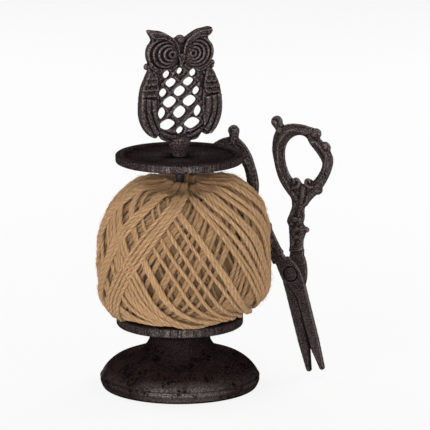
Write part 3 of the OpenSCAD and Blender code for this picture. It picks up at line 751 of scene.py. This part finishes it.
owl = {
    "thick": 4.6, "yaw": 23.0, "voxel": 0.34, "ease": 1, "base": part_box("owl_finial")[0].z / mm + 1.5,
    "openings": [  # height, place on both sides of the middle, width and height
        (47.8, 0, 4.2, 3.4), (46.3, 8.0, 4.6, 4.4), (41.5, 5.3, 7.2, 4.7), (36.2, 0, 7.7, 6.0),
        (35.8, 10.0, 5.0, 4.9), (30.4, 6.0, 8.9, 6.2), (24.2, 0, 8.3, 7.1), (24.2, 10.9, 5.2, 6.7),
        (17.5, 7.6, 10.4, 6.0), (13.9, 0, 5.0, 3.9)],
    "middle": -0.3, "openingSides": 24, "openingPoint": 1.25,  # a power of 1 is round, and more is pointed
    "flare": [(-0.5, 0.8), (2.2, 0.0), (8.0, 0.6)],  # depth and widening of an opening
    "boss": [(3.1, -1.5), (3.7, -1.5), (4.0, 0.6), (4.8, 2.8), (5.9, 5.0), (6.4, 7.2), (5.7, 9.3),
             (4.2, 10.4), (3.1, 9.5)],
    "bossSteps": 40, "bossCut": 7.5, "cutBox": (40.0, 30.0, 40.0),
    "earDrop": 0.8, "ears": (58.0, 13.0),
}


def addOpening(bm, place, size):
    sides = owl["openingSides"]
    rings = []
    for depth, more in owl["flare"]:
        wide, tall = (part / 2 + more for part in size)
        ring = []
        for x, y in arcPoints((0, 0), 1, 0, 360 - 360 / sides, sides - 1):
            x, y = (math.copysign(abs(part) ** owl["openingPoint"], part) for part in (x, y))
            ring.append(bm.verts.new((place[0] + x * wide, place[1] + y * tall, depth)))
        rings.append(ring)
    for low, high in zip(rings, rings[1:]):
        for k in range(sides):
            bm.faces.new((low[k], low[(k + 1) % sides], high[(k + 1) % sides], high[k]))
    bm.faces.new(rings[0][::-1])
    bm.faces.new(rings[-1])


def owlCut(flatten):
    # the solid laid flat, with wider openings and its plain boss taken off below
    bm = bmesh.new()
    for height, side, width, tall in owl["openings"]:
        for way in (1, -1) if side else (1,):
            addOpening(bm, (side * way + owl["middle"], height), (width, tall))
    below = (0, owl["bossCut"] - owl["cutBox"][1] / 2, owl["thick"] / 2)
    box = Matrix.Translation(below) @ Matrix.Diagonal((*owl["cutBox"], 1))
    bmesh.ops.create_cube(bm, size=1.0, matrix=box)
    bmesh.ops.recalc_face_normals(bm, faces=bm.faces)
    tool = objectFromBmesh("owlTool", bm)
    bm = bmesh.new()
    bm.from_mesh(frame["nodes"]["owl_finial"].data)
    bmesh.ops.transform(bm, matrix=flatten, verts=bm.verts)
    weld(bm, figureSet["merge"])
    obj = objectFromBmesh("owlBody", bm)
    cut = obj.modifiers.new("cut", "BOOLEAN")
    withSettings(cut, operation="DIFFERENCE", solver="EXACT", use_self=True, object=tool)
    mesh = takeMesh(obj)
    bpy.data.objects.remove(tool)
    return mesh


def makeOwl():
    half = owl["thick"] / 2
    turn = Matrix.Rotation(math.radians(owl["yaw"]), 4, "Z")
    stand = turn @ Matrix.Translation((0, half, owl["base"])) @ Matrix.Rotation(math.pi / 2, 4, "X")
    bm = bmesh.new()
    spinOutline(bm, [(r, v, half) for r, v in owl["boss"]], (0, 0, half), (0, 1, 0), owl["bossSteps"])
    body = owlCut(stand.inverted() @ Matrix.Scale(1 / mm, 4))
    mesh = fuse("owlFigure", bm, [body], owl["voxel"], owl["ease"])
    place = meshValues(mesh.vertices, "co", 3)
    place[:, 1] -= owl["earDrop"] * fade(place[:, 1], *owl["ears"])  # the ears a little lower
    mesh.vertices.foreach_set("co", place.ravel())
    mesh.transform(Matrix.Scale(mm, 4) @ stand)
    return addObject("owlFigure", mesh)


piece = makeOwl()
markWearShadeAndHighlight(piece, figureSet["ridge"], figureSet["dip"])
dress(piece, figureIron, "owl", "owl_finial")
print("owl made,", len(piece.data.polygons), "faces")

# Scissors: x out from the blade's line, y up from the pivot, z to the front

shears = {
    "voxel": 0.34, "ease": 2, "handleFrom": 9.0, "bladeTo": 11.0, "turns": (19.25, 11.75),
    "flat": 0.87, "thinned": 0.4, "webs": (13.2, 3.0),  # strokes, and the webs between them from that height
    "ground": (1.5, 0.5), "groundBelow": (-4.0, -6.0),  # width and thinning of the cutting edge
    "pivotGroove": (3.9, 4.7, 0.45), "grooveFace": 1.2, "bladeWearAndShade": (0.2, 0.2, 2),
    "shoulder": [(7.4, 10.2, 0, 1.6), (7.9, 6.0, 0, 1.9), (7.5, 1.0, 0, 2.1), (6.4, -4.0, 0, 2.0),
                 (4.4, -10.0, 0, 1.5)],
    "ringLeft": [(13.2, 41.0, 0, 2.3), (10.0, 46.6, 0, 2.7), (7.2, 52.6, 0, 2.9), (5.5, 58.6, 0, 2.9),
                 (5.2, 64.6, 0, 2.9), (6.0, 70.6, 0, 2.9), (8.0, 76.6, 0, 2.9), (11.5, 81.0, 0, 3.0),
                 (16.0, 83.0, 0, 2.9), (21.0, 82.8, 0, 2.8), (25.2, 81.2, 0, 2.8), (28.6, 80.6, 0, 2.6),
                 (30.8, 79.0, 0, 2.6)],
    "ringRight": [(27.6, 79.4, 0, 2.4), (28.8, 75.6, 0, 2.5), (31.8, 72.6, 0, 2.6), (34.6, 69.4, 0, 2.9),
                  (35.8, 64.8, 0, 2.9), (34.6, 59.0, 0, 2.9), (31.2, 53.6, 0, 2.8), (27.4, 49.4, 0, 2.8),
                  (23.6, 46.0, 0, 2.5), (19.2, 42.8, 0, 2.3), (15.6, 39.2, 0, 2.2)],
    "horn": [(10.8, 82.0, 0, 2.9), (8.8, 85.8, 0, 2.5), (7.6, 88.6, 0, 2.7), (7.1, 89.9, 0, 2.6)],
    "curlLeft": [(9.6, 50.2, 0.8, 1.2), (11.8, 49.6, 1.2, 1.3), (14.4, 50.2, 1.4, 1.3),
                 (15.8, 52.2, 1.5, 1.2), (14.9, 54.3, 1.5, 1.15), (12.9, 54.2, 1.5, 1.1),
                 (12.6, 52.6, 1.5, 0.95)],
    "curlRight": [(26.4, 49.4, 0.8, 1.2), (24.0, 48.6, 1.2, 1.25), (21.4, 49.0, 1.4, 1.25),
                  (19.9, 51.0, 1.5, 1.15), (20.6, 53.0, 1.5, 1.1), (22.4, 53.0, 1.5, 1.0),
                  (22.6, 51.6, 1.5, 0.9)],
    "leaf": [(14.8, 39.8, 1.2, 1.5), (16.2, 43.8, 1.0, 2.0), (17.4, 47.6, 0.8, 2.1), (17.9, 50.2, 0.6, 1.4)],
    "shankLeft": [(11.6, 42.0, 0, 2.0), (9.6, 37.6, 0, 2.1), (7.4, 33.6, 0, 2.3), (6.0, 30.4, 0, 2.6),
                  (6.0, 27.6, 0, 2.3), (6.4, 24.8, 0, 2.6), (5.6, 21.4, 0, 2.4), (4.6, 17.6, 0, 2.3),
                  (4.2, 15.6, 0, 2.2)],
    "shankRight": [(16.4, 41.0, 0, 2.0), (13.4, 36.8, 0, 2.1), (11.8, 33.0, 0, 2.2), (11.4, 30.4, 0, 2.5),
                   (10.4, 27.8, 0, 2.2), (11.8, 24.8, 0, 2.6), (10.4, 21.6, 0, 2.4), (8.6, 18.0, 0, 2.2),
                   (7.6, 15.6, 0, 2.1)],
    "collars": [[(4.6, 30.6, 0, 2.0), (8.9, 31.4, 0.6, 2.3), (12.8, 30.0, 0, 1.9)],
                [(4.8, 24.6, 0, 2.0), (9.2, 25.6, 0.6, 2.3), (14.0, 24.2, 0, 2.0)],
                [(4.2, 20.4, 0, 1.5), (8.0, 21.0, 0.9, 1.9), (11.6, 20.2, 0, 1.5)]],
    "ridges": [[(6.6, 56.0, 1.9, 0.9), (5.2, 64.6, 2.2, 1.0), (8.0, 76.4, 2.2, 1.0), (16.0, 83.0, 2.2, 1.0),
                (25.0, 81.2, 2.0, 0.9)],
               [(30.0, 75.0, 1.8, 0.8), (34.4, 69.4, 2.2, 1.0), (35.8, 64.6, 2.2, 1.0),
                (31.2, 53.6, 2.0, 0.9), (25.0, 47.4, 1.8, 0.8)]],
    "knobs": [((30.8, 79.3, 0), 2.9), ((35.6, 70.9, 0), 2.9), ((26.0, 46.6, 0), 2.7),
              ((28.9, 74.8, 0.8), 2.3), ((14.3, 24.3, 0), 1.8), ((9.6, 83.9, 0.6), 2.6)],
}


def shearsHalf(node, spot, keep, above):
    # the solid's own half in its flat drawing, cut off above or below a height
    bm = solidCopy(node, Matrix.Scale(1 / mm, 4) @ spot.inverted(), figureSet["merge"])
    cut = bmesh.ops.bisect_plane(bm, geom=bm.verts[:] + bm.edges[:] + bm.faces[:], dist=0.0005,
                                 plane_co=(0, keep, 0), plane_no=(0, 1, 0),
                                 clear_outer=not above, clear_inner=above)
    rim = [part for part in cut["geom_cut"] if isinstance(part, bmesh.types.BMEdge)]
    bmesh.ops.holes_fill(bm, edges=rim, sides=0)
    bmesh.ops.triangulate(bm, faces=bm.faces)
    return bm


def shearsHandle(node, spot):
    bm = bmesh.new()
    for centre, radius in shears["knobs"]:
        addBead(bm, centre, radius)
    names = ("ringLeft", "ringRight", "horn", "curlLeft", "curlRight", "leaf", "shankLeft", "shankRight")
    backs = [[(x, y, -z, r) for x, y, z, r in line] for line in shears["ridges"]]
    strokes = strokesMesh([shears[name] for name in names] + shears["collars"] + shears["ridges"] + backs)
    for part in (bm.verts, strokes.vertices):
        for vert in part:
            vert.co.z *= shears["flat"]
    solid = shearsHalf(node, spot, shears["handleFrom"], True)
    for vert in solid.verts:
        vert.co.z *= 1 - shears["thinned"] * fade(vert.co.y, *shears["webs"])
    meshes = [strokes, meshFromBmesh("handleSolid", solid)]
    return fuse("shearsHandle", bm, meshes, shears["voxel"], shears["ease"])


def bladeShoulder(bm):
    # a fuller shoulder, as thick as the blade
    low, high = (pick(vert.co.z for vert in bm.verts) for pick in (min, max))
    mesh = strokesMesh([shears["shoulder"]])
    for vert in mesh.vertices:
        vert.co.z = (low + high) / 2 + min(max(vert.co.z, -1), 1) * (high - low) / 2
    return mesh


def shearsBlade(node, name, spot):
    # the solid's own blade and lap, ground thin along the cutting edge, with painted shade along that edge and in
    # the pivot's groove
    bm = shearsHalf(node, spot, shears["bladeTo"], False)
    extra = [bladeShoulder(bm)] if name == "backBlade" else []
    mesh = fuse(name, bm, extra, shears["voxel"], 1)
    place = meshValues(mesh.vertices, "co", 3)
    x, y, z = place.T
    level = np.round(y - y.min()).astype(int)
    edge = np.full(level.max() + 1, x.min())  # how far out the blade goes, for each millimetre up
    np.maximum.at(edge, level, x)
    width, share = shears["ground"]
    ground = fade(edge[level] - x, width, -width) * fade(y, *shears["groundBelow"])
    inner = z.max()
    z[:] = inner + (z - inner) * (1 - share * ground)
    near, far, deep = shears["pivotGroove"]
    reach = np.hypot(x, y)
    ring = (reach > near) & (reach < far) & (z < inner - shears["grooveFace"])
    z[:] = np.where(ring, z + deep, z)
    mesh.vertices.foreach_set("co", place.ravel())
    mesh.transform(spot @ Matrix.Scale(mm, 4))
    obj = addObject(name, mesh)
    # painted shade along the ground edge and in the pivot's groove
    markWearShadeAndHighlight(obj, *shears["bladeWearAndShade"], dark=np.maximum(ring, ground ** 0.5))
    return obj


def makeShears():
    pivot, axis = (Vector(joints["scissors_open"][key]) for key in ("pos_m", "axis"))
    plane = Matrix.Translation(pivot) @ Matrix.Rotation(-math.atan2(axis.x, axis.y), 4, "Z")
    plane = plane @ Matrix.Rotation(math.pi / 2, 4, "X")
    frontTurn, backTurn = (math.radians(turn) for turn in shears["turns"])
    spots = {
        "front": plane @ Matrix.Rotation(frontTurn, 4, "Z") @ Matrix.Rotation(math.pi, 4, "Y"),
        "back": plane @ Matrix.Rotation(backTurn, 4, "Z"),
    }
    for side, spot in spots.items():
        node, body = side + "_scissor_half", "scissors_" + side
        mesh = shearsHandle(node, spot)
        mesh.transform(spot @ Matrix.Scale(mm, 4))
        grip = addObject(side + "Handle", mesh)
        markWearShadeAndHighlight(grip, figureSet["ridge"], figureSet["dip"])
        dress(grip, figureIron, body, node)
        dress(shearsBlade(node, side + "Blade", spot), bladeIron, body, node)


makeShears()
print("scissors made")

# Ball of jute: layers of twisted twine wound from the hole down the sides

ball = {
    "axis": 3.0, "step": 1.6, "rest": 43.0, "bellyZ": 61.0, "radius": 49.4,
    "top": [(7.8, 106.0), (7.9, 114.5), (8.7, 118.8), (10.6, 119.5), (14.4, 118.0), (20.5, 117.4),
            (27.0, 117.4)],
    "upperHeight": 61.4, "upperFull": 2.67, "lowerHeight": 30.8, "lowerFull": 2.06,
    "bottom": [(40.6, 43.7), (36.0, 43.1), (28.0, 43.0)],
    "shoulder": 40.0, "tuck": 45.0,  # the radius and the height where strands change their slope
    "lumps": [(-92, 48, -3.2), (-6, 52, 4.5), (178, 50, 2.0), (92, 60, 2.4)],  # direction, spread and rise
    "lumpsAbove": (80.0, 24.0), "lumpsOutside": (8.0, 8.0),
    "sags": [(-24, 60, -3.5), (178, 50, 0.3)],  # the same near the plate
    "sagsBelow": (60.0, -16.0), "sagsAbove": (42.6, 2.0),
    "coreDepth": 8.4, "coreHole": 12.0, "coreSteps": 72,
}
twine = {
    "thick": 2.5, "plies": 3, "plySides": 4, "plyDip": 0.08, "plyTurn": 12.5, "swell": 0.07,
    "swellLength": 9.0, "driftLength": 26.0, "lift": 0.45, "liftLength": 17.0, "leastReach": (8.0, 12.0),
}
# where the twine is painted in shade under the disc
crown = {"inside": (35.0, -12.0), "above": (108.0, 6.0), "behind": (-27.0, 12.0), "least": 0.2}
winding = {  # directions in degrees, then what varies from strand to strand
    "from": -205.0, "to": 150.0, "wideTo": -125.0,
    "start": 1.8, "slope": 2.5, "depth": 0.35, "tone": 0.25, "width": (0.93, 1.05), "wander": 1.8,
}
layers = [  # name, finish, depth, gaps, slopes from upright on the top, side and plate, way, tone and stride
    ("deepTurns", juteDeepPaintedShade, 5.6, (2.9, 2.9), (4, 24, 40), 1, 0.2, 2),
    ("crossTurns", juteUnderPaintedShade, 3.6, (4.7, 4.7), (5, 30, 50), -1, 0.4, 1),
    ("outerTurns", juteTop, 1.05, (7.4, 4.8), (3, 33, 60), 1, 0.7, 1),
]
banding = {
    "spacing": 3.7, "tones": (0.65, 1.0), "depth": 0.2, "tone": 0.12, "width": (0.95, 1.05), "wander": 0.7,
}
bands = [  # direction of the first strand at the hole, strands, slopes, way, depth
    (-75, 4, (4, 32, 28), -1, -0.6), (-102, 3, (4, 30, 20), -1, -0.4), (-134, 3, (4, 29, 24), -1, -0.3),
    (72, 3, (4, 32, 50), 1, -0.4), (118, 4, (5, 33, 45), -1, -0.5), (176, 3, (4, 34, 55), 1, -0.3),
]


def pathRun(path):
    # the length along a path at each of its points
    return np.concatenate([[0], np.cumsum(np.linalg.norm(np.diff(path, axis=0), axis=1))])


def evenPath(path):
    run = pathRun(path)
    even = np.linspace(0, run[-1], int(run[-1] / ball["step"]))
    return np.stack([np.interp(even, run, part) for part in path.T], 1), even


def ballProfile():
    # radius and height down the ball's side, the way out at each point, and the length so far
    belly, radius = ball["bellyZ"], ball["radius"]
    side = list(ball["top"])
    start, full = side[-1][0], ball["upperFull"]
    for k in range(1, 25):
        r = start + (radius - start) * math.sin(math.pi / 2 * k / 24)
        side.append((r, belly + ball["upperHeight"] * max(0, 1 - (r / radius) ** full) ** (1 / full)))
    low, full = ball["bottom"][0][1], ball["lowerFull"]
    for k in range(1, 9):
        z = belly + (low - belly) * k / 9
        side.append((radius * (1 - ((belly - z) / ball["lowerHeight"]) ** full) ** (1 / full), z))
    side += ball["bottom"]
    dense = smoothPath([(r, z, 0) for r, z in side], 6)
    pts, run = evenPath(np.array([(p.x, p.y) for p in dense]))
    along = np.gradient(pts, axis=0)
    along /= np.linalg.norm(along, axis=1, keepdims=True)
    return pts, np.stack([-along[:, 1], along[:, 0]], 1), run


ballSide, ballOut, ballRun = ballProfile()
ballRandom = random.Random(7)
shoulderAt = int(np.argmax(ballSide[:, 0] > ball["shoulder"]))
bellyAt = int(np.argmax(ballSide[:, 0]))
tuckAt = int(np.argmax((ballSide[:, 1] < ball["tuck"]) & (np.arange(len(ballSide)) > bellyAt)))


def near(value, spread):
    return value + ballRandom.uniform(-spread, spread)


def lumpRise(angle):
    reach, height = ballSide.T
    zones = {"lumps": fade(height, *ball["lumpsAbove"]) * fade(reach, *ball["lumpsOutside"]),
             "sags": fade(height, *ball["sagsBelow"]) * fade(height, *ball["sagsAbove"])}
    rise = np.zeros(len(angle))
    for zone, share in zones.items():
        for direction, spread, most in ball[zone]:
            apart = np.degrees(np.angle(np.exp(1j * (angle - math.radians(direction)))))
            rise += share * most * np.exp(-(apart / spread) ** 2)
    return rise


def strandPath(start, slopes, way, depth, wander):
    # down the ball's side, nearly straight over the top and flattening where it tucks in at the plate
    turnReach, driftReach = (np.maximum(ballSide[:, 0], least) for least in twine["leastReach"])
    slope = np.interp(ballRun, ballRun[[0, shoulderAt // 2, shoulderAt, bellyAt, tuckAt]],
                      (slopes[0], slopes[0], slopes[1], slopes[1], slopes[2]))
    turn = np.tan(np.radians(slope)) / turnReach * np.gradient(ballRun)
    phase = ballRandom.uniform(0, 99)
    drift, lift = (np.array([noise.noise((s / length, phase, row)) for s in ballRun])
                   for length, row in ((twine["driftLength"], 0.0), (twine["liftLength"], 9.0)))
    angle = np.radians(start) + way * np.cumsum(turn) + wander * drift / driftReach
    pts = ballSide + ballOut * (lumpRise(angle) + twine["lift"] * lift - depth)[:, None]
    height = np.maximum(pts[:, 1], ball["rest"])  # no strand sinks into the plate
    path = np.stack([ball["axis"] + pts[:, 0] * np.cos(angle), pts[:, 0] * np.sin(angle), height], 1)
    return evenPath(path)[0]


def plyProfile(around):
    # the plies side by side, as one closed outline
    data = newCurve("plies", dimensions="2D")
    spline = newSpline(data, len(around))
    spline.use_cyclic_u = True
    for point, turn in zip(spline.points, around):
        dip = twine["plyDip"] * (1 - math.cos(twine["plies"] * turn))
        reach = twine["thick"] / 2 * (1 - dip) * mm
        point.co = (reach * math.cos(turn), reach * math.sin(turn), 0, 1)
    return addObject("plies", data)


def crownShade(path):
    # painted shade under the disc, and less of it at the front
    reach = np.hypot(path[:, 0] - ball["axis"], path[:, 1])
    shade = fade(reach, *crown["inside"]) * fade(path[:, 2], *crown["above"])
    return shade * np.maximum(fade(path[:, 1], *crown["behind"]), crown["least"])


def windTwine(name, strands):
    sides = twine["plies"] * twine["plySides"]
    around = fullTurn * np.arange(sides) / sides
    shape = plyProfile(around)
    data = newCurve(name, dimensions="3D", bevel_mode="OBJECT", bevel_object=shape, twist_mode="MINIMUM")
    places, tones, plies = [], [], []
    for path, tone, width in strands:
        count, run = len(path), pathRun(path)
        spin = ballRandom.uniform(0, 6)
        for point, place, s in zip(newSpline(data, count).points, path, run):
            point.co = (*(place * mm), 1)
            point.tilt = spin + fullTurn * s / twine["plyTurn"]
            point.radius = width * (1 + twine["swell"] * noise.noise((s / twine["swellLength"], spin, 3.0)))
        along = np.repeat(run + ballRandom.uniform(0, 500), sides)
        places.append(np.stack([along, np.tile(np.cos(around), count), np.tile(np.sin(around), count)], 1))
        tones.append(np.full(count * sides, tone))
        # painted light on each strand: high on the ply crests, low between the plies and under the disc
        ridge = np.tile(0.5 + 0.5 * np.cos(twine["plies"] * around), count)
        plies.append(ridge * np.repeat(1 - crownShade(path), sides))
    mesh = takeMesh(addObject(name + "Source", data))
    bpy.data.objects.remove(shape)
    for label, values in (("strandPlace", places), ("strandTone", tones), ("plyPaintedLight", plies)):
        addLayer(mesh, label, np.concatenate(values))
    bm = bmesh.new()
    bm.from_mesh(mesh)
    bmesh.ops.holes_fill(bm, edges=[edge for edge in bm.edges if edge.is_boundary], sides=0)
    return objectFromBmesh(name, bm)


def layerStrands(depth, gaps, slopes, way, tone, stride):
    # wider apart where the left front shows the layers below
    strands = []
    turn = winding["from"]
    while turn < winding["to"]:
        leans = [near(slope, winding["slope"]) for slope in slopes]
        start = near(turn, winding["start"])
        path = strandPath(start, leans, way, near(depth, winding["depth"]), winding["wander"])
        shade = near(tone, winding["tone"])
        strands.append((path[::stride], shade, ballRandom.uniform(*winding["width"])))
        turn += gaps[0] if turn < winding["wideTo"] else gaps[1]
    return strands


def bandStrands():
    strands = []
    for first, count, slopes, way, depth in bands:
        bandTone = ballRandom.uniform(*banding["tones"])
        for k in range(count):
            start = first + banding["spacing"] * k * way
            path = strandPath(start, slopes, way, near(depth, banding["depth"]), banding["wander"])
            tone = near(bandTone, banding["tone"])
            strands.append((path, tone, ballRandom.uniform(*banding["width"])))
    return strands


def makeBallCore():
    hole = ball["coreHole"]
    pts = ballSide[::3] - ballOut[::3] * ball["coreDepth"]
    pts = [(r, z) for r, z in pts if r > hole]
    pts = [(hole, pts[-1][1]), (hole, pts[0][1])] + pts
    outline = [((ball["axis"] + r) * mm, 0, z * mm) for r, z in pts]
    bm = bmesh.new()
    spinOutline(bm, outline, (ball["axis"] * mm, 0, 0), (0, 0, 1), ball["coreSteps"])
    weld(bm, 0.01 * mm)
    return objectFromBmesh("ballCore", bm)


fuzz = {
    "count": 5000, "thick": 0.075, "points": 5, "taper": 0.6, "reach": (0.5, 2.3), "length": (2.5, 7.0),
    "lean": 1.2, "sway": 1.4, "lowest": 50.0, "skip": 15,  # points of a strand without fibres, at the hole
    "middle": (58.0, 92.0), "rootOut": 0.44,  # heights they point away from, and a share of the twine
}


def makeFuzz(strands):
    data = newCurve("looseFibres", dimensions="3D", bevel_depth=fuzz["thick"] * mm, bevel_resolution=0)
    lowMiddle, highMiddle = fuzz["middle"]
    for _ in range(fuzz["count"]):
        path = ballRandom.choice(strands)[0]
        path = path[path[:, 2] > fuzz["lowest"]]
        k = ballRandom.randrange(fuzz["skip"], len(path) - 2)
        root = Vector(path[k])
        along = (Vector(path[k + 1]) - root).normalized()
        middle = Vector((ball["axis"], 0, min(max(root.z, lowMiddle), highMiddle)))
        out = (root - middle).normalized()
        out = (out - along * out.dot(along)).normalized()
        side = along.cross(out)
        lean = near(0, fuzz["lean"])
        away = (out * math.cos(lean) + side * math.sin(lean)).normalized()
        length = ballRandom.uniform(*fuzz["length"]) * ballRandom.choice((-1, 1))
        reach = ballRandom.uniform(*fuzz["reach"]) * ballRandom.random() ** 1.5
        sway = side * near(0, fuzz["sway"])
        base = root + away * twine["thick"] * fuzz["rootOut"]
        for j, point in enumerate(newSpline(data, fuzz["points"]).points):
            t = j / (fuzz["points"] - 1)
            spot = base + along * length * t + away * reach * t ** 1.6 + sway * t * t
            point.co = (*(spot * mm), 1)
            point.radius = 1 - fuzz["taper"] * t
    mesh = takeMesh(addObject("fibreSource", data))
    # the loose fibres get no painted shade
    for label in ("strandTone", "plyPaintedLight"):
        addLayer(mesh, label, np.ones(len(mesh.vertices)))
    return addObject("looseFibres", mesh)


def makeBall():
    dress(makeBallCore(), juteDeepPaintedShade, "twine_ball", "twine_core")
    for name, material, *layer in layers:
        strands = layerStrands(*layer)
        dress(windTwine(name, strands), material, "twine_ball", "twine_winding")
    banded = bandStrands()
    dress(windTwine("topBands", banded), juteTop, "twine_ball", "twine_winding")
    fuzzy = strands + banded + banded  # the outer layer, and the bands twice over
    dress(makeFuzz(fuzzy), juteTop, "twine_ball", "twine_winding")


makeBall()
print("ball wound")
